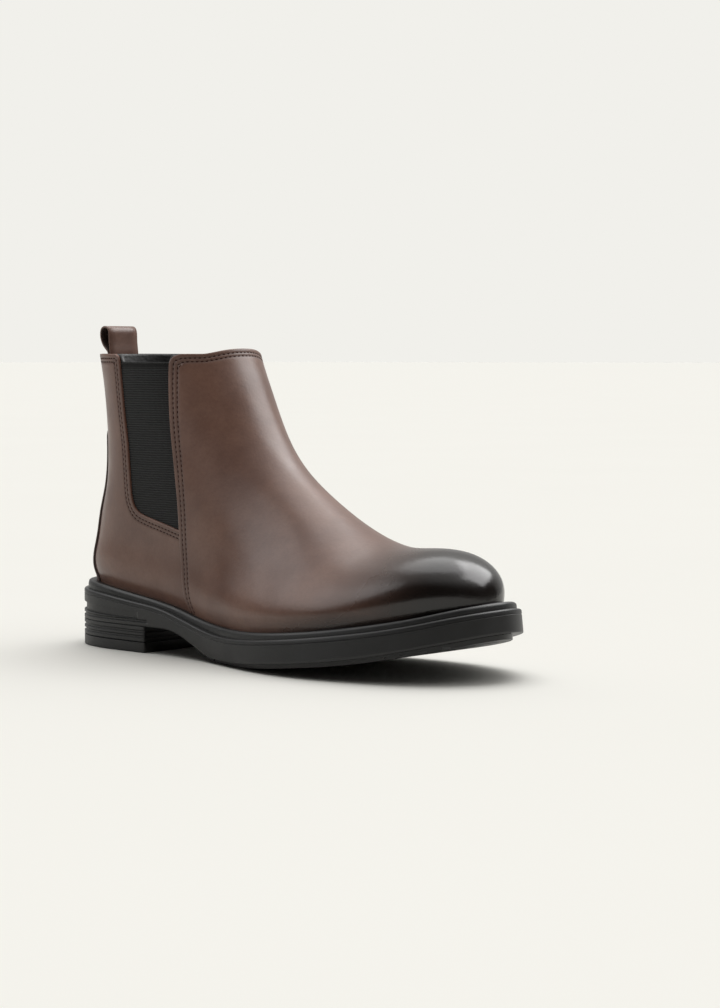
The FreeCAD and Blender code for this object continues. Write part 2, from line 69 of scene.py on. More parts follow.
# ---- driving dimensions, as in the CAD source ----
SOLE_LENGTH = 306.0
COLLAR_Z = 170.0
HEEL_LENGTH = 75.5
ARCH_Z = 15.2
TOP_LIFT_Z = 6.2
HEEL_GROOVES = (12.1, 9.1)
OUTSOLE_GROOVE = 18.2
RECESS_DEPTH = 1.3       # sunk band round the heel
RECESS_END = 68.0
OUTER_PLY = (-0.25, 1.05)
QUARTER_PLY = (-1.55, -0.30)
INNER_PLY = (-2.85, -1.65)
LINING_PLY = (-3.95, -2.90)
STRAP_WIDTH = 22.0
LOOP_X = 17.2
FOOT_RADIUS = 1.25
LOOP_CLEARANCE = 1.0
SEAM_ALLOWANCE = 8.0
VAMP_CORNER = 6.0
QUARTER_CORNER = 3.5
BACK_STAY_HALF = 22.5
BACK_STAY_TOP = 132.0
GUSSET_TOP = 165.5
COLLAR_RISE = 3.2
TUCK = 1.8
CLOSURE = 2.6
TOE_CLOSURE = 2.25
HEEL_ROUND = 52.0
TOE_ROUND = 78.0
TOE_X = 296.8
TOE_SWING = 5.4


# ---- numeric helpers ----
def natural_spline(points):
    """Natural cubic through (t, value) pairs for arrays, continued as straight lines."""
    ts, vs = np.array(points, float).T
    count = len(ts)
    step = np.diff(ts)
    matrix = np.eye(count)
    right = np.zeros(count)
    for i in range(1, count - 1):
        matrix[i, i - 1:i + 2] = step[i - 1], 2 * (step[i - 1] + step[i]), step[i]
        right[i] = 6 * ((vs[i + 1] - vs[i]) / step[i] - (vs[i] - vs[i - 1]) / step[i - 1])
    moment = np.linalg.solve(matrix, right)
    first = (vs[1] - vs[0]) / step[0] - step[0] * moment[1] / 6
    last = (vs[-1] - vs[-2]) / step[-1] + step[-1] * moment[-2] / 6

    def value(t):
        t = np.asarray(t, float)
        i = np.clip(np.searchsorted(ts, t) - 1, 0, count - 2)
        inside = np.clip(t, ts[0], ts[-1])
        past = inside - ts[i]
        left = ts[i + 1] - inside
        bend = (moment[i] * left ** 3 + moment[i + 1] * past ** 3) / (6 * step[i])
        low = (vs[i] / step[i] - moment[i] * step[i] / 6) * left
        high = (vs[i + 1] / step[i] - moment[i + 1] * step[i] / 6) * past
        return (bend + low + high + first * np.minimum(t - ts[0], 0)
                + last * np.maximum(t - ts[-1], 0))
    return value


def smooth(t):
    """Soft step from 0 to 1."""
    t = np.clip(t, 0.0, 1.0)
    return t * t * (3 - 2 * t)


def arc_length(points):
    """Length along a polyline at each of its points."""
    return np.r_[0, np.cumsum(np.linalg.norm(np.diff(points, axis=0), axis=1))]


def read(t, ts, table):
    """Rows of a table at t, where its own rows are at ts."""
    return np.stack([np.interp(t, ts, column) for column in table.T], -1)


def bisect(holds, low, high):
    """Where a test that holds at low stops holding on the way to high (arrays)."""
    for _ in range(40):
        mid = (low + high) / 2
        under = holds(mid)
        low = np.where(under, mid, low)
        high = np.where(under, high, mid)
    return low


# ---- sole lines ----
EDGE_LATERAL = [(0, 0), (2.6, 14), (11, 26), (24, 33.6), (40, 36.8), (62, 37.2), (90, 37),
                (120, 39.5), (150, 46.5), (175, 52.5), (198, 55), (222, 53.5), (246, 48),
                (268, 40), (286, 28.8), (299, 13.5), (304.6, 0)]
EDGE_MEDIAL = [(2.6, 14), (11, 26), (24, 33), (40, 36), (62, 36), (90, 34.5), (120, 34.5),
               (150, 39.5), (180, 47.5), (207, 53.5), (232, 55.5), (256, 53), (277, 46),
               (293, 34.5), (302.5, 21.5), (SOLE_LENGTH, 9)]
edge_top = natural_spline([(0, 33.2), (20, 32.6), (37, 31.8), (55, 30), (72, 28.3), (86, 26.6),
                           (103, 22.8), (122, 18.4), (138, 16.2), (155, 15.8), (180, 17.4),
                           (202, 19.6), (234, 23.6), (260, 27.6), (281, 32), (297, 36.2),
                           (SOLE_LENGTH, 38.4)])
welt_top = natural_spline([(0, 38), (32, 36.8), (47, 35.2), (64, 33), (81, 30.6), (99, 27.4),
                           (117, 23.4), (138, 20.8), (160, 20.3), (180, 21.2), (201, 22.9),
                           (234, 26.8), (260, 31), (281, 35.3), (297, 39.6), (SOLE_LENGTH, 41.8)])
sole_under = natural_spline([(0, ARCH_Z), (45, ARCH_Z), (72, ARCH_Z), (84, ARCH_Z), (96, 14.6),
                             (108, 11.6), (120, 7.2), (132, 3.6), (144, 2.8), (158, 2.9),
                             (170, 3.5), (189, 5.2), (218, 8.3), (248, 12.4), (271, 17),
                             (290, 21.6), (SOLE_LENGTH, 26)])

# ---- last lines ----
RIDGE = [(108, 205), (113.5, 188), (119.8, 170), (127.8, 153.5), (136, 137), (146.3, 120),
         (158, 107.3), (172, 96.3), (190, 84.6), (204, 76.9), (219, 70.4), (236, 66.7),
         (252, 68.1), (266, 70.8), (279, 72), (294, 71.2), (320, 68)]
heel_curve = natural_spline([(30, 7.2), (38, 6.4), (47, 5), (60, 7.6), (80, 13.4), (92, 17.8),
                             (104, 20.4), (118, 21.2), (136, 20.6), (155, 18.5), (COLLAR_Z, 15.6),
                             (190, 11.5)])
low_lateral = natural_spline([(0, 31), (40, 31), (80, 31), (110, 32.6), (140, 38), (170, 45.2),
                              (198, 48.8), (225, 48.6), (250, 45.6), (300, 42.5)])
low_medial = natural_spline([(0, 30.6), (40, 30.4), (80, 29.2), (110, 28.4), (140, 31.6),
                             (170, 38.6), (200, 45.6), (230, 48), (255, 43.2), (300, 40.5)])
high_width = natural_spline([(0, 38), (60, 38.5), (100, 37), (130, 33), (160, 30), (190, 32),
                             (220, 36), (250, 40), (300, 42)])
side_height = natural_spline([(0, 75), (90, 75), (130, 72), (160, 62), (190, 52), (220, 40),
                              (250, 34), (300, 30)])
ridge_round = natural_spline([(0, 60), (0.2, 60), (0.35, 50), (0.5, 40), (0.62, 36),
                              (0.75, 32), (1, 30)])


def dense_curve(points, per_span):
    """Smooth curve through side-view points, as an array of points."""
    points = np.array(points, float)
    length = arc_length(points)
    t = np.linspace(0, length[-1], (len(points) - 1) * per_span + 1)
    return np.stack([natural_spline(np.c_[length, column])(t) for column in points.T], -1)


RIDGE_CURVE = dense_curve(RIDGE, 20)
CHUNK = 8000             # points measured at a time, to save memory


def exact_ridge_distance(x, z):
    """Distance inside the instep line, and how far along it the nearest point lies."""
    a = RIDGE_CURVE[:-1]
    d = np.diff(RIDGE_CURVE, axis=0)
    xs = np.ravel(x)
    zs = np.ravel(z)
    depth = np.empty(len(xs))
    along = np.empty(len(xs))
    for start in range(0, len(xs), CHUNK):
        part = slice(start, start + CHUNK)
        px = xs[part, None] - a[:, 0]
        pz = zs[part, None] - a[:, 1]
        t = np.clip((px * d[:, 0] + pz * d[:, 1]) / (d ** 2).sum(1), 0, 1)
        ex = px - t * d[:, 0]
        ez = pz - t * d[:, 1]
        gap = ex ** 2 + ez ** 2
        i = gap.argmin(1)
        rows = np.arange(len(i))
        sign = np.where(d[i, 0] * ez[rows, i] - d[i, 1] * ex[rows, i] < 0, 1.0, -1.0)
        depth[part] = sign * np.sqrt(gap[rows, i])
        along[part] = (i + t[rows, i]) / len(d)
    return depth.reshape(x.shape), along.reshape(x.shape)


TABLE_STEP = 0.5
TABLE_X = np.arange(-40.0, 345.0, TABLE_STEP)
TABLE_Z = np.arange(-10.0, 200.0, TABLE_STEP)
TABLE_BLUR = 5           # cells to each side
SOFT_FROM = 8.0          # depth under the instep line where the softening starts


def softened(table):
    """A table smoothed over a few cells, where the nearest point jumps and leaves a crease."""
    size = 2 * TABLE_BLUR + 1
    for axis in (0, 1) * 3:
        padding = [(0, 0), (0, 0)]
        padding[axis] = (TABLE_BLUR, TABLE_BLUR)
        padded = np.moveaxis(np.pad(table, padding, mode="edge"), axis, 0)
        total = np.cumsum(padded, axis=0)
        total = np.concatenate([np.zeros_like(total[:1]), total])
        table = np.moveaxis((total[size:] - total[:-size]) / size, 0, axis)
    return table


def ridge_tables():
    """Depth and place along the instep line over the side view, softened away from that line."""
    depth, along = exact_ridge_distance(*np.meshgrid(TABLE_X, TABLE_Z, indexing="ij"))
    soft = smooth((depth - SOFT_FROM) / SOFT_FROM)
    return [table + (softened(table) - table) * soft for table in (depth, along)]


TABLE = ridge_tables()


def ridge_distance(x, z):
    """Depth inside the instep line and place along it, read from the tables."""
    i = np.clip((x - TABLE_X[0]) / TABLE_STEP, 0, len(TABLE_X) - 1.001)
    j = np.clip((z - TABLE_Z[0]) / TABLE_STEP, 0, len(TABLE_Z) - 1.001)
    i0 = i.astype(int)
    j0 = j.astype(int)
    a = i - i0
    b = j - j0
    return tuple(t[i0, j0] * (1 - a) * (1 - b) + t[i0 + 1, j0] * a * (1 - b)
                 + t[i0, j0 + 1] * (1 - a) * b + t[i0 + 1, j0 + 1] * a * b for t in TABLE)


def fullness(x, z):
    """1 on the flanks, falling to 0 at the instep line, the toe and the heel curve."""
    depth, along = ridge_distance(x, z)
    over_ridge = np.clip(1 - depth / ridge_round(along), 0, 2) ** CLOSURE
    over_toe = np.clip(1 - (TOE_X - x) / TOE_ROUND, 0, 2) ** TOE_CLOSURE
    over_heel = np.clip(1 - (x - heel_curve(z)) / HEEL_ROUND, 0, 2) ** CLOSURE
    return 1 - over_ridge - over_toe - over_heel


def flank(x, z, side):
    """Half-width of the last away from its rounded ends."""
    above = z - welt_top(x)
    low = np.where(side < 0, low_lateral(x), low_medial(x))
    rise = smooth((above - 4) / side_height(x))
    width = low + (high_width(x) - low) * rise
    width = width + 1.6 * np.exp(-((above - 14) / 12) ** 2) * (1 - rise)
    width = width - np.exp(-((z - 105) / 26) ** 2) * (1 - smooth((x - 60) / 60))
    width = width - TUCK * np.exp(-(np.maximum(above, 0) / 5) ** 2)
    return width + 1.2 * (np.maximum(z - 100, 0) / 76) ** 2


def middle(x):
    """Sideways position of the last's centre line."""
    return TOE_SWING * smooth((x - 190) / 110)


def edge_point(inner, outer):
    """Where the side view ends on the way from inner points to outer ones (arrays of x, z)."""
    def place(t):
        return inner + (outer - inner) * t[:, None]
    count = len(inner)
    return place(bisect(lambda t: fullness(*place(t).T) > 0, np.zeros(count), np.ones(count)))


# Rings climb from the welt (v = 0) to above the collar (v = 1).
RING_TOP = COLLAR_Z + 4
SPINE = [(250, 35), (248, 45), (235, 50), (205, 52), (175, 56), (145, 65), (110, 85),
         (85, 110), (72, 140), (66, RING_TOP)]
REACH = [(320, 38), (325, 58), (300, 90), (255, 100), (225, 105), (200, 120), (185, 140),
         (165, 152), (152, 162), (142, RING_TOP)]
heel_level = natural_spline([(0, 36), (0.12, 42), (0.3, 52), (0.5, 70), (0.7, 103),
                             (0.85, 138), (1, RING_TOP)])
RING_V = np.linspace(0, 1, 401)


def ring_tables():
    """Side-view ends of the rings at each RING_V, rear and front."""
    ts = np.linspace(0, 1, len(SPINE))
    inner, outer = (np.stack([natural_spline(list(zip(ts, column)))(RING_V)
                              for column in zip(*line)], -1) for line in (SPINE, REACH))
    front = edge_point(inner, outer)
    level = heel_level(RING_V)
    rear = edge_point(np.stack([level * 0 + 60, level], -1), np.stack([level * 0 - 20, level], -1))
    return rear, front


REAR, FRONT = ring_tables()


def ring_height(v, x):
    """Height of ring v at x, and how far along the ring that is (0 heel, 1 front)."""
    rx, rz = (np.interp(v, RING_V, REAR[:, k]) for k in (0, 1))
    fx, fz = (np.interp(v, RING_V, FRONT[:, k]) for k in (0, 1))
    part = np.clip((x - rx) / (fx - rx), 0, 1)
    straight = rz + (fz - rz) * part
    follow = welt_top(x) + (rz - welt_top(rx)) * (1 - part) + (fz - welt_top(fx)) * part
    blend = smooth(v / 0.75)
    return follow * (1 - blend) + straight * blend - 6.0 * (1 - smooth(v / 0.1)), part


def side_view(u, v):
    """Side-view x, z of a point of the upper's domain."""
    rx = np.interp(v, RING_V, REAR[:, 0])
    fx = np.interp(v, RING_V, FRONT[:, 0])
    x = rx + (fx - rx) * (1 - np.cos(u)) / 2
    return x, ring_height(v, x)[0]


def upper_point(u, v, offset=0.0):
    """Points and outward normals of the upper; negative u is the outer (lateral) side."""
    u = np.asarray(u, float)
    side = np.where(np.sin(u) < 0, -1.0, 1.0)
    x, z = side_view(u, v)

    def squared(px, pz):
        return flank(px, pz, side) ** 2 * fullness(px, pz)
    h = 0.05
    half = np.sqrt(np.maximum(squared(x, z), 0))
    half = np.where(np.abs(np.sin(u)) < 1e-6, 0.0, half)
    ny = 2 * side * half
    nx = (squared(x - h, z) - squared(x + h, z)) / (2 * h)
    nx = nx - ny * (middle(x + h) - middle(x - h)) / (2 * h)
    nz = (squared(x, z - h) - squared(x, z + h)) / (2 * h)
    normal = np.stack([nx, ny, nz], -1)
    normal /= np.linalg.norm(normal, axis=-1, keepdims=True)
    point = np.stack([x, middle(x) + side * half, z], -1)
    return point + normal * np.asarray(offset)[..., None], normal


def domain_point(x, z, side):
    """Domain (u, v) of side-view points on one side of the boot."""
    v = bisect(lambda v: ring_height(v, x)[0] < z, np.zeros_like(x), np.ones_like(x))
    return side * np.arccos(1 - 2 * ring_height(v, x)[1]), v


# ---- mesh helpers ----
def edge_outline(inset, count):
    """Plan points of the sole's edge moved inwards, and the inward directions."""
    ring = [(x, -y) for x, y in reversed(EDGE_LATERAL)] + EDGE_MEDIAL
    ring = np.array(ring[-3:] + ring + ring[:3], float)
    length = arc_length(ring)
    along = [natural_spline(np.c_[length, column]) for column in ring.T]
    t = length[3] + (length[-3] - length[3]) * np.arange(count) / count
    at = np.stack([f(t) for f in along], -1)
    d = np.stack([f(t + 0.1) - f(t - 0.1) for f in along], -1)
    d /= np.linalg.norm(d, axis=1, keepdims=True)
    inward = np.stack([d[:, 1], -d[:, 0]], -1)
    return at + inward * np.asarray(inset), inward


EDGE_Y = edge_outline(0, 64)[0][:, 1]
SHIFT = np.array([-SOLE_LENGTH / 2, -(EDGE_Y.min() + EDGE_Y.max()) / 2, 0.0])
SHARP_ANGLE = 38         # degrees


def make_mesh(name, points, faces, material, attributes=None, sharp=False, body="boot"):
    """Mesh object from points in millimetres, riding on a body."""
    mesh = bpy.data.meshes.new(name)
    points = (np.asarray(points, float) + SHIFT) * 0.001
    mesh.from_pydata(points.tolist(), [], [tuple(int(i) for i in f) for f in faces])
    mesh.validate()
    for key, values in (attributes or {}).items():
        mesh.attributes.new(key, "FLOAT", "POINT").data.foreach_set("value", np.ravel(values))
    mesh.materials.append(material)
    mesh.shade_smooth()
    piece = bpy.data.objects.new(name, mesh)
    bpy.context.scene.collection.objects.link(piece)
    if sharp:
        mesh.set_sharp_from_angle(angle=math.radians(SHARP_ANGLE))
    if body:
        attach(piece, body)
    return piece


def grid_faces(rows, columns, closed_rows=False, closed_columns=False):
    """Quads of a grid whose points are stored row by row."""
    faces = []
    for i in range(rows if closed_rows else rows - 1):
        for j in range(columns if closed_columns else columns - 1):
            here = i * columns
            above = (i + 1) % rows * columns
            after = (j + 1) % columns
            faces.append((here + j, here + after, above + after, above + j))
    return faces


def flipped(faces):
    """Quads with their other side out, starting at the same corner."""
    return [(a, d, c, b) for a, b, c, d in faces]


def inside_polygon(points, polygon):
    """Even-odd test of many points against one polygon."""
    x, y = points[:, 0], points[:, 1]
    inside = np.zeros(len(points), bool)
    ax, ay = polygon[-1]
    for bx, by in polygon:
        cross = (ay > y) != (by > y)
        if ay != by:
            inside ^= cross & (x < (bx - ax) * (y - ay) / (by - ay) + ax)
        ax, ay = bx, by
    return inside


def fill_polygon(polygon, spacing):
    """Triangles over a polygon: its own points first, then a grid of inner ones."""
    low = polygon.min(0)
    high = polygon.max(0)
    xs = np.arange(low[0] + spacing / 2, high[0], spacing)
    ys = np.arange(low[1] + spacing / 2, high[1], spacing)
    grid = np.stack(np.meshgrid(xs, ys), -1).reshape(-1, 2)
    grid = grid[inside_polygon(grid, polygon)]
    near = np.full(len(grid), 1e9)
    for start in range(0, len(polygon), 200):
        gap = grid[:, None] - polygon[None, start:start + 200]
        near = np.minimum(near, (gap ** 2).sum(-1).min(1))
    grid = grid[near > (0.6 * spacing) ** 2]
    points = np.vstack([polygon, grid])
    count = len(polygon)
    edges = [(i, (i + 1) % count) for i in range(count)]
    found = geometry.delaunay_2d_cdt([Vector(p) for p in points], edges, [], 0, 1e-7)
    out = np.array([tuple(p) for p in found[0]])
    faces = np.array(found[2])
    keep = inside_polygon(out[faces].mean(1), polygon)
    faces = faces[keep]
    p = out[faces]
    turn = np.cross(p[:, 1] - p[:, 0], p[:, 2] - p[:, 0])
    faces[turn < 0] = faces[turn < 0][:, ::-1]
    return out, faces


SCALE_U = 62.0          # millimetres to one unit of u in the flat domain
SCALE_V = 200.0


def resample(points, spacing, closed=False):
    """Points evenly spaced along a polyline, by the 3-D length of the upper's surface."""
    if closed:
        points = np.vstack([points, points[:1]])
    length = arc_length(upper_point(points[:, 0], points[:, 1])[0])
    count = max(2, int(round(length[-1] / spacing)))
    t = np.linspace(0, length[-1], count + 1)
    if closed:
        t = t[:-1]
    return read(t, length, points)


def inward_steps(polygon):
    """Domain steps that move each point of a closed polygon 1 mm into it along the surface."""
    h = 1e-3
    u, v = polygon.T
    here, normal = upper_point(u, v)
    by_u = (upper_point(u + h, v)[0] - upper_point(u - h, v)[0]) / (2 * h)
    by_v = (upper_point(u, v + h)[0] - upper_point(u, v - h)[0]) / (2 * h)
    tangent = np.roll(here, -1, 0) - np.roll(here, 1, 0)
    tangent /= np.linalg.norm(tangent, axis=1, keepdims=True)
    inward = np.cross(normal, tangent)
    uu = (by_u ** 2).sum(1)
    vv = (by_v ** 2).sum(1)
    uv = (by_u * by_v).sum(1)
    iu = (by_u * inward).sum(1)
    iv = (by_v * inward).sum(1)
    det = uu * vv - uv ** 2
    step = np.stack([(iu * vv - iv * uv) / det, (iv * uu - iu * uv) / det], -1)
    turn = np.cross(np.roll(polygon, -1, 0), polygon).sum()
    return -step if turn < 0 else step


EDGE = 0.55              # radius of a rolled cut edge
GROOVE_DEPTH = 0.24      # how far the stitching pulls the leather in
SEAM_FADE = 5.0          # over which a seam fades out at the end of its line


def seam_rows(outline, spans, seams):
    """Insets of two stitch rows along an outline, how fully and whether each point is seamed."""
    count = len(outline)
    rows = np.tile(np.array(next(iter(seams.values())), float), (count, 1))
    seamed = np.zeros(count, bool)
    for key, insets in seams.items():
        rows[spans[key]] = insets
        seamed[spans[key]] = True
    here = upper_point(outline[:, 0], outline[:, 1])[0]
    bare = here[~seamed]
    gap = np.array([np.linalg.norm(bare - p, axis=1).min() for p in here])
    reach = 6
    window = np.hanning(2 * reach + 3)[1:-1]
    window /= window.sum()
    for k in (0, 1):
        padded = np.r_[rows[-reach:, k], rows[:, k], rows[:reach, k]]
        rows[:, k] = np.convolve(padded, window, "valid")
    return rows, smooth(gap / SEAM_FADE), seamed


PANEL_SPACING = 1.7


def panel(name, outline, ply, material, seam=None, edge=EDGE, dark_edge_dye_and_shade=False):
    """Piece of leather cut to a domain outline, with a rolled edge and pulled-in seam rows."""
    low, high = ply
    steps = inward_steps(outline)
    # from the outline inwards: inset, offset from the surface, how bare it looks and how much
    # painted shade it gets at its seams
    rings = [(0.0, low, 1.0, 0.0), (0.0, high - edge * 0.85, 0.9, 0.0),
             (edge * 0.2, high - edge * 0.4, 0.6, 0.0),
             (edge * 0.55, high - edge * 0.12, 0.3, 0.1), (edge, high, 0.0, 0.2)]
    if seam:
        rows, strength = seam
        # painted shade: darkest in each stitch groove, lighter between and just beside the rows
        for row, other in ((0, None), (1, 0)):
            at = edge + (rows[:, row] - edge) * strength
            before = edge if other is None else edge + (rows[:, other] - edge) * strength
            rings.append(((before + at) / 2, high + 0.05 * strength, 0.0, 0.35 * strength))
            for shift, depth in ((-0.55, 0.12), (0.0, 1.0), (0.55, 0.12)):
                rings.append((at + shift * strength, high - GROOVE_DEPTH * depth * strength, 0.0,
                              (0.4 + 0.6 * depth) * strength))
        rings.append((at + 1.7 * strength, high, 0.0, 0.0))
    count = len(outline)

    def moved(inset):
        return outline + steps * np.broadcast_to(inset, count)[:, None]

    scale = np.array([SCALE_U, SCALE_V])
    flat, faces = fill_polygon(moved(rings[-1][0]) * scale, PANEL_SPACING)
    points = [upper_point(*(flat / scale).T, high)[0]]
    rim = [np.zeros(len(flat))]
    sewn = [np.zeros(len(flat))]
    faces = [tuple(f)[::-1] for f in faces]
    previous = 0
    start = len(flat)
    for inset, offset, bared, seam_shade in rings[-2::-1]:
        points.append(upper_point(*moved(inset).T, offset)[0])
        rim.append(np.full(count, bared))
        sewn.append(seam_shade + np.zeros(count))
        for i in range(count):
            j = (i + 1) % count
            faces.append((previous + i, previous + j, start + j, start + i))
        previous = start
        start += count
    rim = np.concatenate(rim)
    sewn = np.concatenate(sewn)
    # back strip: its cut edge gets dark dye and painted shade of the edge's side, in place of the
    # light raw-edge tone
    if dark_edge_dye_and_shade:
        sewn = np.maximum(sewn, np.minimum(2 * rim, 1.5))
        rim = 0 * rim
    shades = {"rim": rim, "seam": sewn}
    return make_mesh(name, np.vstack(points), faces, material, shades)


# ---- side-view lines of the panels ----
vamp_edge = natural_spline([(10, 112), (20, 109), (38, 105.5), (58, 103.2), (77, 103.3),
                            (94, 102.8), (110, 100.8), (128, 97.8), (145, 95.6), (160, 94.2),
                            (COLLAR_Z, 93.8), (190, 93.5)])
gusset_rear = natural_spline([(70, 63.8), (85, 63.5), (99, 63.2), (118, 62.2), (137, 60),
                              (COLLAR_Z, 57), (190, 55)])
gusset_low = natural_spline([(50, 86), (63.5, 81.5), (72, 78.6), (86, 75), (103, 70.8),
                             (115, 68)])
MARGIN = 1.2             # how far the leather runs down behind the welt


def side_line(points, side):
    """Domain points of a side-view polyline on one side."""
    return np.stack(domain_point(*np.array(points, float).T, side), -1)


def level_v(u, height):
    """v at which the upper reaches a height (a function of x) at angle u."""
    def under(v):
        x, z = side_view(u, v)
        return z < height(x)
    u = np.asarray(u, float)
    return bisect(under, np.zeros_like(u), np.ones_like(u))


def level_line(u_from, u_to, height, count=240):
    """Domain points of a level line round the boot."""
    u = np.linspace(u_from, u_to, count)
    return np.stack([u, level_v(u, height)], -1)


def edge_line(line, z_from, z_to, count=80):
    """Side-view points of a line given as x by z."""
    z = np.linspace(z_from, z_to, count)
    return np.stack([line(z), z], -1)


def foot_level(x):
    """Lower edge of the leather, behind the welt."""
    return edge_top(x) - MARGIN


def collar_level(x):
    """Top line of the leather: level round the back, rising to the front."""
    return COLLAR_Z + COLLAR_RISE * smooth((x - 109) / 12)


def meet(line, level):
    """Height at which an edge line reaches a level."""
    z = np.linspace(0, 190, 1901)
    return z[np.argmax(z >= level(line(z)))]


def corner_cut(z, radius):
    """How far a rounded top corner takes an edge back at each height."""
    drop = np.maximum(z - (COLLAR_Z - radius), 0)
    return radius - np.sqrt(np.maximum(radius ** 2 - drop ** 2, 0))


def vamp_outline():
    """Closed domain outline of the vamp, running round through the front."""
    z = np.linspace(meet(vamp_edge, foot_level), COLLAR_Z, 120)
    line = np.stack([vamp_edge(z) + corner_cut(z, VAMP_CORNER), z], -1)
    lateral = side_line(line, -1)
    medial = side_line(line, 1)
    lateral[:, 0] += 2 * math.pi
    top = level_line(lateral[-1, 0], medial[-1, 0], collar_level)[1:-1]
    bottom = level_line(medial[0, 0], lateral[0, 0], foot_level, 360)[1:-1]
    return {"lateral": lateral, "top": top, "medial": medial[::-1], "bottom": bottom}


def closed(parts, spacing=0.9):
    """Closed outline from its parts in order, and the range of points that each part takes."""
    keys = list(parts)
    lines = []
    spans = {}
    start = 0
    for key, after in zip(keys, keys[1:] + keys[:1]):
        line = resample(np.vstack([parts[key], parts[after][:1]]), spacing)[:-1]
        spans[key] = slice(start, start + len(line))
        start += len(line)
        lines.append(line)
    return np.vstack(lines), spans


def quarter_outline(side):
    """Closed domain outline of a quarter: back seam, collar, gusset window, under the vamp."""
    seam = 0.002
    z = np.linspace(COLLAR_Z, 84, 70)
    z = z[z > 92]
    rear = np.stack([gusset_rear(z) - corner_cut(z, QUARTER_CORNER), z], -1)
    xs = np.linspace(66, 112, 40)
    low = np.stack([xs, gusset_low(xs)], -1)
    window = np.vstack([rear, bend(rear[-1], (63.5, 81.5), low[4]), low[5:]])
    z = np.linspace(gusset_low(112.0), meet(vamp_edge, foot_level), 50)
    front = np.stack([np.maximum(vamp_edge(z) + SEAM_ALLOWANCE, 111.0), z], -1)
    window = side_line(window, side)
    front = side_line(front, side)
    top = level_line(side * seam, window[0, 0], collar_level, 80)[:-1]
    bottom = level_line(front[-1, 0], side * seam, foot_level, 160)[1:]
    back = np.linspace((side * seam, bottom[-1, 1]), (side * seam, top[0, 1]), 62)[1:-1]
    return {"top": top, "window": window, "front": front, "bottom": bottom, "back": back}


def bend(a, corner, b, count=12):
    """Rounded corner between two side-view points."""
    t = np.linspace(0, 1, count)[:, None]
    a, corner, b = (np.array(p, float) for p in (a, corner, b))
    return a * (1 - t) ** 2 + 2 * corner * t * (1 - t) + b * t ** 2


# ---- threads ----
STITCH_PITCH = 2.75
THREAD_LENGTH = 1.95
THREAD_WIDTH = 1.0
THREAD_RISE = 0.24       # half its thickness


def stitch_mesh(name, rows, offset, material):
    """Separate short threads along rows of domain points."""
    ring = 6
    body = 5
    template = []
    for i in range(body):
        t = i / (body - 1)
        swell = math.sin(math.pi * min(max(t, 0.06), 0.94)) ** 0.45
        sunk = 0.02 - 0.28 * (2 * t - 1) ** 4
        for k in range(ring):
            angle = 2 * math.pi * k / ring
            template.append(((t - 0.5) * THREAD_LENGTH, math.cos(angle) * THREAD_WIDTH / 2 * swell,
                             math.sin(angle) * THREAD_RISE * swell + sunk))
    template = np.array(template)
    ends = [tuple(range(ring)), tuple(range((body - 1) * ring, body * ring))[::-1]]
    template_faces = flipped(grid_faces(body, ring, closed_columns=True)) + ends
    points = []
    faces = []
    for row in rows:
        line, normal = upper_point(*row.T, offset)
        arc = arc_length(line)
        for s in np.arange(STITCH_PITCH / 2, arc[-1], STITCH_PITCH):
            here, ahead, behind = (read(at, arc, line) for at in (s, s + 0.3, s - 0.3))
            n = read(s, arc, normal)
            t = ahead - behind
            t /= np.linalg.norm(t)
            start = len(points) * len(template)
            points.append(here + template @ np.stack([t, np.cross(n, t), n]))
            faces += [tuple(i + start for i in f) for f in template_faces]
    return make_mesh(name, np.vstack(points), faces, material)


# ---- materials ----
class Tree:
    """Short-hand for building a node tree."""

    def __init__(self, tree, coordinates):
        self.tree = tree
        self.position = tree.nodes.new("ShaderNodeTexCoord").outputs[coordinates]

    def add(self, kind, **values):
        node = self.tree.nodes.new(kind)
        for key, value in values.items():
            if hasattr(node, key):
                setattr(node, key, value)
            else:
                self.put(node.inputs[key.replace("_", " ")], value)
        return node

    def put(self, socket, value):
        if isinstance(value, bpy.types.NodeSocket):
            self.tree.links.new(value, socket)
        else:
            socket.default_value = value

    def math(self, operation, a, b=0.0):
        node = self.tree.nodes.new("ShaderNodeMath")
        node.operation = operation
        self.put(node.inputs[0], a)
        self.put(node.inputs[1], b)
        return node.outputs[0]

    def plus(self, a, b):
        return self.math("ADD", a, b)

    def minus(self, a, b):
        return self.math("SUBTRACT", a, b)

    def mul(self, a, b):
        return self.math("MULTIPLY", a, b)

    def noise(self, scale, detail=4.0, roughness=0.5):
        node = self.add("ShaderNodeTexNoise", Vector=self.position, Scale=scale, Detail=detail,
                        Roughness=roughness)
        return node.outputs["Fac"]

    def cells(self, scale, feature="F1"):
        node = self.add("ShaderNodeTexVoronoi", feature=feature, Vector=self.position, Scale=scale)
        return node.outputs["Distance"]

    def ramp(self, value, low, high, to_low=0.0, to_high=1.0):
        node = self.add("ShaderNodeMapRange", interpolation_type="SMOOTHSTEP", Value=value,
                        From_Min=low, From_Max=high, To_Min=to_low, To_Max=to_high)
        return node.outputs["Result"]

    def mix(self, factor, a, b):
        node = self.tree.nodes.new("ShaderNodeMix")
        node.data_type = "RGBA"
        self.put(node.inputs["Factor"], factor)
        self.put(node.inputs["A"], a)
        self.put(node.inputs["B"], b)
        return node.outputs["Result"]

    def bump(self, height, strength, distance, normal=None):
        node = self.add("ShaderNodeBump", Strength=strength, Distance=distance)
        self.put(node.inputs["Height"], height)
        if normal:
            self.put(node.inputs["Normal"], normal)
        return node.outputs["Normal"]

    def attribute(self, name):
        return self.add("ShaderNodeAttribute", attribute_name=name).outputs["Fac"]

    def split(self):
        return self.add("ShaderNodeSeparateXYZ", Vector=self.position).outputs


class Nodes(Tree):
    """A new material round one Principled shader."""

    def __init__(self, name):
        self.material = bpy.data.materials.new(name)
        self.material.use_nodes = True
        super().__init__(self.material.node_tree, "Object")
        self.shader = self.tree.nodes["Principled BSDF"]

    def set(self, **values):
        for key, value in values.items():
            self.put(self.shader.inputs[key.replace("_", " ")], value)


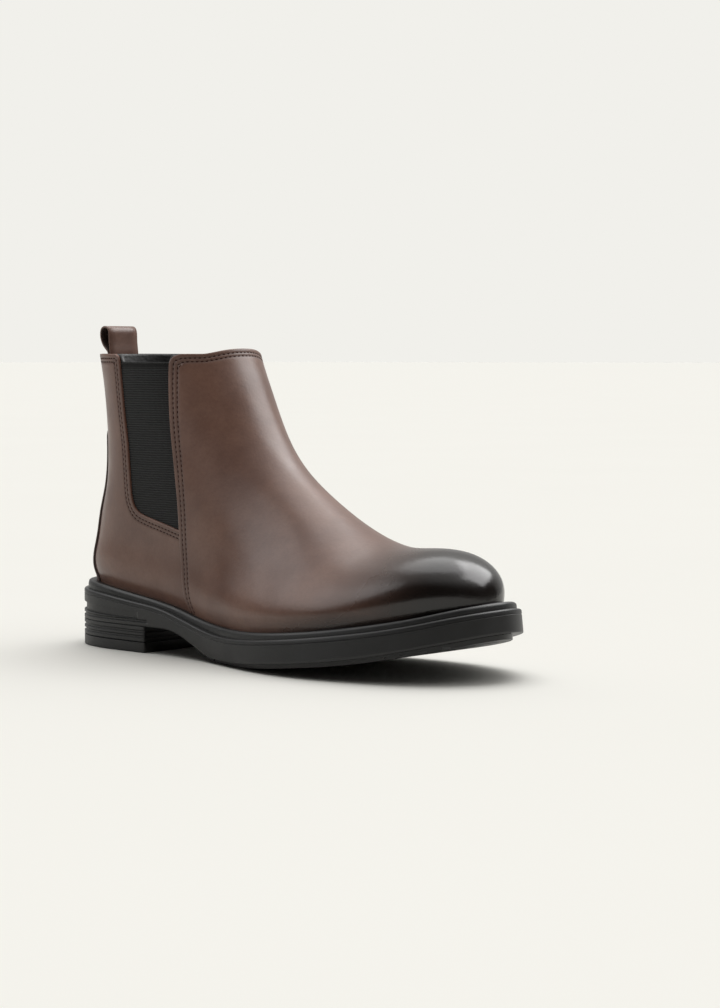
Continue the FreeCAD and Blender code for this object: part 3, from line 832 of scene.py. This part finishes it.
def rgb(red, green, blue):
    """sRGB 0-255 as linear RGBA."""
    channels = [c / 255 for c in (red, green, blue)]
    linear = [c / 12.92 if c <= 0.04045 else ((c + 0.055) / 1.055) ** 2.4 for c in channels]
    return (*linear, 1.0)


def brown_leather():
    """Polished calf: fine pores, soft cloudy colour, burnished nearly black over the toe."""
    n = Nodes("brown_leather")
    x, y, z = n.split()
    cloud = n.noise(26.0, 5.0, 0.6)
    fine = n.noise(420.0, 3.0, 0.6)
    base = n.mix(n.ramp(cloud, 0.3, 0.7), rgb(86, 60, 50), rgb(104, 76, 64))
    base = n.mix(n.ramp(fine, 0.35, 0.75, 0.0, 0.3), base, rgb(74, 50, 41))
    wander = n.mul(n.minus(cloud, 0.5), 0.03)
    along = n.plus(x, wander)
    above_sole = n.minus(z, n.mul(x, 0.16))
    low = n.ramp(above_sole, 0.010, 0.034, 1.0, 0.0)
    toe = n.ramp(along, 0.055, 0.128)
    side = n.mul(low, n.ramp(along, 0.0, 0.085))
    burnish = n.math("MAXIMUM", toe, side)
    base = n.mix(n.mul(burnish, 0.98), base, rgb(9, 7, 6))
    # painted shade: the seam attribute darkens the stitch grooves and the bands between rows, the
    # inside of the pull loop, and the back strip's cut edge, which also has dark dye
    seam = n.attribute("seam")
    base = n.mix(n.mul(seam, 0.6), base, rgb(36, 21, 16))
    rim = n.attribute("rim")
    base = n.mix(n.ramp(rim, 0.35, 0.9, 0.0, 0.7), base, rgb(98, 60, 44))
    pores = n.cells(1500.0)
    grain = n.cells(640.0, "SMOOTH_F1")
    height = n.plus(n.mul(pores, 0.35), n.mul(grain, 0.65))
    normal = n.bump(height, 0.14, 0.0003)
    normal = n.bump(n.noise(90.0, 3.0), 0.05, 0.002, normal)
    rough = n.ramp(n.noise(60.0, 4.0), 0.3, 0.7, 0.33, 0.40)
    rough = n.minus(rough, n.mul(burnish, 0.15))
    rough = n.plus(rough, n.mul(n.math("MAXIMUM", seam, rim), 0.2))
    n.set(Base_Color=base, Roughness=rough, Normal=normal, Specular_IOR_Level=0.5)
    return n.material


def black_leather():
    """Grained lining leather."""
    n = Nodes("black_leather")
    grain = n.cells(520.0, "SMOOTH_F1")
    wrinkle = n.noise(160.0, 6.0, 0.7)
    base = n.mix(n.ramp(wrinkle, 0.35, 0.7), rgb(12, 11, 11), rgb(26, 25, 25))
    height = n.plus(n.mul(grain, 0.7), n.mul(wrinkle, 0.5))
    n.set(Base_Color=base, Roughness=n.ramp(wrinkle, 0.3, 0.7, 0.45, 0.62),
          Normal=n.bump(height, 0.55, 0.0006))
    return n.material


RIB_PITCH = 0.00132      # of the elastic, in metres
WARP_PITCH = 0.0009


def elastic_fabric():
    """Rib-knit elastic: fine level ribs crossed by a faint warp, hemmed at the top."""
    n = Nodes("elastic_fabric")
    x, y, z = n.split()
    hem = n.ramp(z, (GUSSET_TOP - 3.4) * 0.001, (GUSSET_TOP - 3.0) * 0.001)
    waver = n.mul(n.noise(40.0, 2.0), 0.0006)
    rib = n.math("SINE", n.mul(n.plus(z, waver), 2 * math.pi / RIB_PITCH))
    rib = n.mul(n.plus(rib, 1.0), 0.5)
    warp = n.math("SINE", n.mul(x, 2 * math.pi / WARP_PITCH))
    warp = n.mul(n.plus(warp, 1.0), 0.5)
    fuzz = n.noise(900.0, 3.0, 0.7)
    open_ribs = n.mul(rib, n.minus(1.0, n.mul(hem, 0.8)))
    # painted shade: the colour darkens in the rib valleys and lightens on the crests, with random
    # tone from the fuzz
    tone = n.plus(n.mul(open_ribs, 0.75), n.mul(fuzz, 0.35))
    base = n.mix(n.ramp(tone, 0.2, 1.0), rgb(12, 12, 12), rgb(44, 44, 44))
    height = n.plus(open_ribs, n.mul(warp, 0.25))
    height = n.plus(height, n.mul(fuzz, 0.2))
    n.set(Base_Color=base, Roughness=0.85, Normal=n.bump(height, 0.8, 0.0005), Sheen_Weight=0.06,
          Sheen_Roughness=0.5, Specular_IOR_Level=0.2)
    return n.material


def black_rubber(name="black_rubber", tone=1.0):
    """Moulded rubber with a satin skin and faint handling marks."""
    n = Nodes(name)
    cloud = n.noise(34.0, 5.0, 0.6)
    speck = n.noise(1100.0, 2.0, 0.5)
    # tone below 1 paints shade in, as a darker copy of the same rubber
    dark = rgb(12 * tone, 12 * tone, 12 * tone)
    light = rgb(19 * tone, 19 * tone, 20 * tone)
    base = n.mix(n.ramp(cloud, 0.3, 0.7), dark, light)
    rough = n.ramp(cloud, 0.3, 0.7, 0.38, 0.5)
    n.set(Base_Color=base, Roughness=rough, Normal=n.bump(speck, 0.12, 0.0003), IOR=1.5)
    return n.material


def thread_material():
    """Dull twisted thread."""
    n = Nodes("brown_thread")
    twist = n.noise(1800.0, 2.0, 0.5)
    base = n.mix(n.ramp(twist, 0.3, 0.7), rgb(32, 15, 11), rgb(54, 28, 21))
    n.set(Base_Color=base, Roughness=0.85, Normal=n.bump(twist, 0.3, 0.0002),
          Specular_IOR_Level=0.1)
    return n.material


def plain_material(name, dark, light, scale, roughness, metallic=0.0, strength=0.3):
    """Mottled material for pieces that are mostly hidden."""
    n = Nodes(name)
    mottle = n.noise(scale, 5.0, 0.65)
    base = n.mix(n.ramp(mottle, 0.3, 0.7), rgb(*dark), rgb(*light))
    n.set(Base_Color=base, Roughness=n.ramp(mottle, 0.3, 0.7, roughness - 0.08, roughness + 0.08),
          Metallic=metallic, Normal=n.bump(mottle, strength, 0.0005))
    return n.material


BROWN = brown_leather()
LINING = black_leather()
ELASTIC = elastic_fabric()
RUBBER = black_rubber()
# painted shade: the welt bead under the upper's edge gets a darker copy of the sole rubber
SHADED_WELT_RUBBER = black_rubber("welt_rubber", 0.85)
THREAD = thread_material()


# ---- upper ----
SIDE_ROWS = (2.9, 5.6)   # stitch rows from the vamp's upright edges
TOP_ROWS = (2.5, 4.6)    # from the collar
WINDOW_ROWS = (2.6, 4.8)


def leather_panel(name, parts, ply, seams):
    """One stitched panel of the upper, with its rows of thread."""
    outline, spans = closed(parts)
    rows, strength, seamed = seam_rows(outline, spans, seams)
    piece = panel(name, outline, ply, BROWN, (rows, strength))
    steps = inward_steps(outline)
    sewn = seamed & (strength > 0.8)
    first = int(np.argmax(~sewn))
    order = (np.arange(len(outline)) + first) % len(outline)
    order = order[sewn[order]]
    lines = [resample(outline[order] + steps[order] * rows[order, k:k + 1], 0.5)
             for k in (0, 1)]
    stitch_mesh(name + "_stitches", lines, ply[1] - GROOVE_DEPTH + 0.03, THREAD)
    return piece


def upper_pieces():
    """Vamp and quarters."""
    vamp = leather_panel("vamp_leather", vamp_outline(), OUTER_PLY,
                         {"lateral": SIDE_ROWS, "top": TOP_ROWS, "medial": SIDE_ROWS})
    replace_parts(vamp, "vamp")
    for name, side in (("lateral", -1), ("medial", 1)):
        quarter = leather_panel("quarter_leather_" + name, quarter_outline(side), QUARTER_PLY,
                                {"top": TOP_ROWS, "window": WINDOW_ROWS})
        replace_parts(quarter, "quarter_" + name)


def elastic_pieces():
    """Elastic panels, which run a little under the leather round them."""
    for name, side in (("lateral", -1), ("medial", 1)):
        grow = SEAM_ALLOWANCE - 1
        rear = edge_line(gusset_rear, GUSSET_TOP, 82)
        rear[:, 0] -= grow
        xs = np.linspace(63, 108, 30)
        low = np.stack([xs, gusset_low(xs) - grow], -1)
        front = edge_line(vamp_edge, 66, GUSSET_TOP)
        front[:, 0] += grow
        outline = side_line(np.vstack([rear, low, front]), side)
        top = np.linspace(outline[-1], outline[0], 40)[1:-1]
        top[:, 1] = level_v(top[:, 0], lambda x: GUSSET_TOP)
        outline = resample(np.vstack([outline, top]), 1.0, closed=True)
        piece = panel("elastic_" + name, outline, INNER_PLY, ELASTIC, edge=0.4)
        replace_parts(piece, "gusset_" + name)


def across(height, y):
    """Angle at which the upper is y from its centre line at a height near the heel."""
    def within(u):
        return upper_point(u, level_v(u, lambda x: height))[0][:, 1] <= y
    return bisect(within, np.zeros_like(height), np.full_like(height, 1.2))


CAP_HEIGHT = 11.0        # rounded top of the back strip


def back_strip():
    """Wide strip that covers the back seam, with a rounded top."""
    foot = float(edge_top(8)) - MARGIN
    z = BACK_STAY_TOP - (BACK_STAY_TOP - foot) * np.linspace(0, 1, 90) ** 2
    rounded = np.maximum(1 - (BACK_STAY_TOP - z) / CAP_HEIGHT, 0)
    half = BACK_STAY_HALF * np.sqrt(np.maximum(1 - rounded ** 2, 0.0001))
    z, half = z[::-1], half[::-1]
    u = across(z, half)
    right = np.stack([u, level_v(u, lambda x: z)], -1)
    left = (right * (-1, 1))[::-1]
    outline = resample(np.vstack([right, left]), 1.0, closed=True)
    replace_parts(panel("back_strip", outline, OUTER_PLY, BROWN, dark_edge_dye_and_shade=True), "back_stay")


def lining_top(x):
    """Top of the lining: just under the leather's edge, and lower behind the elastic."""
    rear = smooth((x - gusset_rear(COLLAR_Z) - 0.5) / 2)
    front = smooth((x - vamp_edge(COLLAR_Z) + 1.5) / 2)
    return collar_level(x) - 0.4 - 4.6 * rear * (1 - front)


def lining():
    """Inner skin of shaft and foot, turned outwards at the collar to meet the leather."""
    us = np.linspace(-math.pi, math.pi, 561)[:-1] + 1e-5
    roll = [(-3.0, -1.75), (-0.7, -1.7), (-0.15, -1.95), (0.0, -2.5), (-0.05, -3.1),
            (-0.35, -3.65), (-1.0, LINING_PLY[0])]
    rows = [upper_point(us, level_v(us, lambda x: lining_top(x) + drop), offset)[0]
            for drop, offset in roll]
    v_top = level_v(us, lambda x: lining_top(x) - 1.6)
    v_low = level_v(us, lambda x: edge_top(x) + 0.5)
    for t in np.linspace(0, 1, 80):
        rows.append(upper_point(us, v_top + (v_low - v_top) * t, LINING_PLY[0])[0])
    faces = grid_faces(len(rows), len(us), closed_columns=True)
    piece = make_mesh("lining_skin", np.vstack(rows), faces, LINING)
    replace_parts(piece, "vamp_lining", "quarter_lining")


# ---- bottom ----
EDGE_POINTS = 720
GROOVE_SHAPE = [(0.0, 0.95), (0.3, 0.78), (0.8, 0.35)]    # depth and height of its upper half


def sweep(name, profile, material, sharp):
    """Band swept round the sole's edge; profile(x) gives its insets and heights."""
    rows = [[(x + nx * a, y + ny * a, b) for a, b in profile(x)]
            for (x, y), (nx, ny) in zip(*edge_outline(0, EDGE_POINTS))]
    faces = grid_faces(EDGE_POINTS, len(rows[0]), closed_rows=True)
    return make_mesh(name, np.vstack(rows), faces, material, sharp=sharp)


def groove(z):
    """Rounded groove in a wall, as insets and heights."""
    return ([(a, z + b) for a, b in GROOVE_SHAPE]
            + [(a, z - b) for a, b in reversed(GROOVE_SHAPE)])


def wall_profile(x):
    """Outsole's side: rounded rim, fine line, sunk band at the heel, groove, flare, underside."""
    top = float(edge_top(x))
    low = float(sole_under(x))
    deep = RECESS_DEPTH * (1 - float(smooth((x - RECESS_END) / 2.0)))
    high_band = 25.6 - 2.5 * x / 70
    low_band = 21.0 - 1.9 * x / 70
    line = top - 2.7
    if deep < 0.01:
        high_band = line - 1.6
        low_band = max(low + 1.6, high_band - 4)
    shape = [(9.0, top - 0.1), (1.6, top), (0.75, top - 0.05), (0.25, top - 0.3), (0.0, top - 0.8),
             (0.0, line + 0.35), (0.3, line + 0.1), (0.3, line - 0.1), (0.0, line - 0.35),
             (0.0, high_band + 0.25), (deep, high_band), (deep, low_band), (0.0, low_band - 0.25)]
    if x < HEEL_LENGTH + 3:
        shape += groove(OUTSOLE_GROOVE)
    else:
        mid = (low_band + low) / 2
        shape += [(0.0, mid + shift) for shift in (0.5, 0.3, 0.1, -0.1, -0.3, -0.5)]
    shape += [(0.0, low + 0.7), (0.25, low + 0.2), (0.8, low), (9.0, low)]
    flare = 1.2 * float(smooth((x - 120) / 120)) / (top - low)
    return [(a - flare * (top - b) if a < 5 else a, b) for a, b in shape]


def welt_profile(x):
    """Rounded bead between the sole's edge and the upper."""
    low = float(edge_top(x)) - 0.1
    high = float(welt_top(x))
    return [(2.4, low), (2.45, low + (high - low) * 0.55), (2.75, high - 0.75), (3.3, high - 0.2),
            (4.0, high), (5.0, high - 0.1), (9.0, high - 0.9)]


def underside():
    """Face across the bottom of the outsole."""
    flat, faces = fill_polygon(edge_outline(8.8, 260)[0], 5.0)
    points = np.column_stack([flat, sole_under(flat[:, 0])])
    make_mesh("outsole_underside", points, [tuple(f)[::-1] for f in faces], RUBBER)


def heel_outline(inset):
    """Plan outline of the heel: the sole's edge cut off at the breast."""
    points = edge_outline(inset, 480)[0]
    breast = HEEL_LENGTH - inset * 0.6
    rear = points[points[:, 0] < breast]
    rear = rear[np.argsort(np.arctan2(rear[:, 1], rear[:, 0] - 40) % (2 * math.pi))]
    across_y = np.linspace(rear[:, 1].min() + 0.8, rear[:, 1].max() - 0.8, 30)
    front = np.stack([np.full(30, breast), across_y], -1)
    return np.vstack([rear, front])


def heel_mesh(name, top, bottom, grooves=()):
    """Wall of the heel between two heights, with level grooves, and its end faces."""
    count = 260
    levels = [(0.6, top), (0.0, top - 0.4)]
    for z in grooves:
        levels += groove(z)
    levels += [(0.0, bottom + 0.4), (0.5, bottom)]
    rings = []
    for inset, z in levels:
        ring = heel_outline(inset)
        loop = np.vstack([ring, ring[:1]])
        arc = arc_length(loop)
        plan = read(np.linspace(0, arc[-1], count + 1)[:-1], arc, loop)
        rings.append(np.column_stack([plan, np.full(count, z)]))
    faces = flipped(grid_faces(len(levels), count, closed_columns=True))
    base = (len(levels) - 1) * count
    faces.append(tuple(base + i for i in range(count))[::-1])
    faces.append(tuple(range(count)))
    return make_mesh(name, np.vstack(rings), faces, RUBBER, sharp=True)


def bottom_pieces():
    """Outsole, welt and heel."""
    wall = sweep("outsole_wall", wall_profile, RUBBER, True)
    underside()
    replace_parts(wall, "outsole")
    welt = sweep("storm_welt_bead", welt_profile, SHADED_WELT_RUBBER, False)
    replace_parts(welt, "storm_welt")
    block = heel_mesh("heel_block_wall", ARCH_Z + 0.1, TOP_LIFT_Z, HEEL_GROOVES)
    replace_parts(block, "heel_block")
    lift = heel_mesh("heel_lift", TOP_LIFT_Z - 0.05, 0.0)
    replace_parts(lift, "heel_top_lift")


# ---- pull loop ----
INSIDE_SHADE = 1.5       # painted shade on the inside faces of the loop, through the seam attribute
STRAP_HALF_THICKNESS = 0.55
STRAP_PATH = [(16.5, -9.0), (16.4, -4.0), (15.9, -1.2), (13.2, 1.6), (11.0, 4.2), (9.7, 7.3),
              (9.4, 10.1), (10.4, 12.8), (13.1, 13.8), (15.8, 12.8), (16.8, 10.4), (17.0, 6.8),
              (17.3, 3.0), (17.8, -1.0), (17.9, -4), (17.9, -9)]    # x, and z above its foot


def pull_strap():
    """Folded strap: both ends run down into the collar, and the fold stands above it."""
    base = COLLAR_Z + LOOP_CLEARANCE + FOOT_RADIUS
    line = dense_curve(STRAP_PATH, 8)
    d = np.gradient(line, axis=0)
    d /= np.linalg.norm(d, axis=1, keepdims=True)
    out = np.stack([-d[:, 1], d[:, 0]], -1)
    half = STRAP_WIDTH / 2
    thick = STRAP_HALF_THICKNESS
    ys = [-half + 0.25, -half * 0.5, 0, half * 0.5, half - 0.25]
    cross = [(y, thick) for y in ys] + [(half, thick * 0.5), (half, -thick * 0.5)]
    cross += [(y, -thick) for y in ys[::-1]] + [(-half, -thick * 0.5), (-half, thick * 0.5)]
    points = []
    shade = []
    for (x, z), o in zip(line, out):
        for y, t in cross:
            points.append((x + o[0] * t, y, base + z + o[1] * t))
            shade.append(INSIDE_SHADE if t == -thick else 0.0)
    faces = grid_faces(len(line), len(cross), closed_columns=True)
    piece = make_mesh("pull_strap", points, faces, BROWN, {"seam": shade}, body=None)

    def place(z):
        return tuple((np.array([LOOP_X, 0, z]) + SHIFT) * 0.001)
    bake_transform(piece)
    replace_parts(piece, "pull_loop", "pull_loop_tails")


# ---- finishes of the CAD nodes that stay ----
MOSTLY_HIDDEN = {        # material, dark and light colour, scale of its mottle, roughness
    "toe_puff": ("puff_felt", (190, 178, 150), (214, 204, 180), 300, 0.85),
    "heel_counter": ("counter_board", (178, 158, 124), (204, 188, 156), 240, 0.8),
    "vamp_interlining": ("cotton_drill", (206, 200, 184), (226, 222, 208), 900, 0.9),
    "insole_board": ("insole_board", (150, 116, 78), (178, 144, 104), 500, 0.85),
    "bottom_filler": ("cork", (120, 84, 50), (170, 128, 84), 380, 0.9),
    "footbed_foam": ("foam", (50, 50, 54), (72, 72, 76), 800, 0.9),
}


def finish_cad_nodes():
    """Materials of the CAD nodes that stay."""
    hidden = {name: plain_material(*look) for name, look in MOSTLY_HIDDEN.items()}
    steel = plain_material("steel", (140, 140, 142), (176, 176, 178), 120, 0.32,
                           metallic=1.0, strength=0.05)
    for name in ("shank", "shank_rivet_rear", "shank_rivet_front"):
        hidden[name] = steel
    hidden["sock_liner"] = LINING
    hidden["forefoot_tread"] = RUBBER
    for name, material in hidden.items():
        mesh = frame["nodes"][name].data
        for i in range(len(mesh.materials)):
            mesh.materials[i] = material
        if not mesh.materials:
            mesh.materials.append(material)


upper_pieces()
elastic_pieces()
back_strip()
lining()
bottom_pieces()
pull_strap()
finish_cad_nodes()


# ---- stage ----
FLOOR_HALF = 60.0
BACKDROP = rgb(241, 240, 235)
SUN = 1.3
SUN_ANGLE = 50           # degrees, for soft shadows
DIM_WALLS = 0.05
# each bright wall's direction, the cosines where it begins and is full, and its strength
WALLS = [((-0.62, 0.78, 0.35), 0.35, 0.85, 0.6), ((0.1, 0.2, 1.0), 0.5, 0.92, 0.9)]
LIT_BY_BOXES = "lit_by_boxes"
CAMERA_PLACE = (1083.8, -938.1, 168.2)
CAMERA_TILT = 3.53       # degrees below level
CAMERA_AZIMUTH = 43.0


def stage():
    """Plain pale floor."""
    mesh = bpy.data.meshes.new("floor")
    corners = [(x * FLOOR_HALF, y * FLOOR_HALF, 0) for x, y in ((-1, -1), (1, -1), (1, 1), (-1, 1))]
    mesh.from_pydata(corners, [], [(0, 1, 2, 3)])
    floor = bpy.data.objects.new("floor", mesh)
    bpy.context.scene.collection.objects.link(floor)
    n = Nodes("paper")
    grain = n.noise(3.0, 2.0, 0.5)
    n.set(Base_Color=n.mix(grain, rgb(243, 242, 237), rgb(245, 244, 239)), Roughness=0.95,
          Specular_IOR_Level=0.0)
    mesh.materials.append(n.material)


def area(name, place, target, size, power):
    """Soft box that lights the boot only, so that the floor stays even."""
    data = bpy.data.lights.new(name, "AREA")
    data.shape = "RECTANGLE"
    data.size, data.size_y = size
    data.energy = power
    lamp = bpy.data.objects.new(name, data)
    lamp.location = place
    direction = Vector(target) - Vector(place)
    lamp.rotation_euler = direction.to_track_quat("-Z", "Y").to_euler()
    bpy.context.scene.collection.objects.link(lamp)
    lamp.light_linking.receiver_collection = bpy.data.collections[LIT_BY_BOXES]


def surround(tree):
    """Studio walls: dark on the viewer's side, bright behind the boot and overhead."""
    n = Tree(tree, "Generated")
    total = DIM_WALLS
    for direction, begins, full, strength in WALLS:
        facing = n.add("ShaderNodeVectorMath", operation="DOT_PRODUCT")
        n.put(facing.inputs[0], n.position)
        n.put(facing.inputs[1], Vector(direction).normalized())
        wall = n.ramp(facing.outputs["Value"], begins, full, 0.0, strength)
        total = n.plus(total, wall)
    return total


def lights():
    """Pale backdrop for the camera, a graded surround for everything else, and soft boxes."""
    world = bpy.data.worlds.new("studio")
    bpy.context.scene.world = world
    world.use_nodes = True
    tree = world.node_tree
    walls = tree.nodes["Background"]
    walls.inputs["Color"].default_value = rgb(250, 249, 246)
    tree.links.new(surround(tree), walls.inputs["Strength"])
    seen = tree.nodes.new("ShaderNodeBackground")
    seen.inputs["Color"].default_value = BACKDROP
    ray = tree.nodes.new("ShaderNodeLightPath")
    mix = tree.nodes.new("ShaderNodeMixShader")
    tree.links.new(ray.outputs["Is Camera Ray"], mix.inputs[0])
    tree.links.new(walls.outputs[0], mix.inputs[1])
    tree.links.new(seen.outputs[0], mix.inputs[2])
    tree.links.new(mix.outputs[0], tree.nodes["World Output"].inputs["Surface"])
    data = bpy.data.lights.new("overhead", "SUN")
    data.energy = SUN
    data.angle = math.radians(SUN_ANGLE)
    lamp = bpy.data.objects.new("overhead", data)
    lamp.rotation_euler = (math.radians(-12), math.radians(-10), 0)
    bpy.context.scene.collection.objects.link(lamp)
    boot = bpy.data.collections.new(LIT_BY_BOXES)
    for item in bpy.data.objects:
        if item.type in ("MESH", "CURVE") and item.name != "floor":
            boot.objects.link(item)
    area("key", (0.6, 0.92, 1.22), (0.05, 0, 0.08), (1.6, 1.0), 27)
    area("rear_left", (-0.82, -0.86, 0.96), (0, 0, 0.08), (1.4, 1.05), 11)


def camera():
    """Low three-quarter view from the toe's outer side, with an 85 mm lens."""
    data = bpy.data.cameras.new("camera")
    data.lens = 85.0
    data.sensor_width = 36.0
    item = bpy.data.objects.new("camera", data)
    item.location = (np.array(CAMERA_PLACE) + SHIFT) * 0.001
    item.rotation_euler = (math.radians(90 - CAMERA_TILT), 0, math.radians(CAMERA_AZIMUTH))
    bpy.context.scene.collection.objects.link(item)
    bpy.context.scene.camera = item


stage()
lights()
camera()
bpy.context.scene.view_settings.view_transform = "Standard"
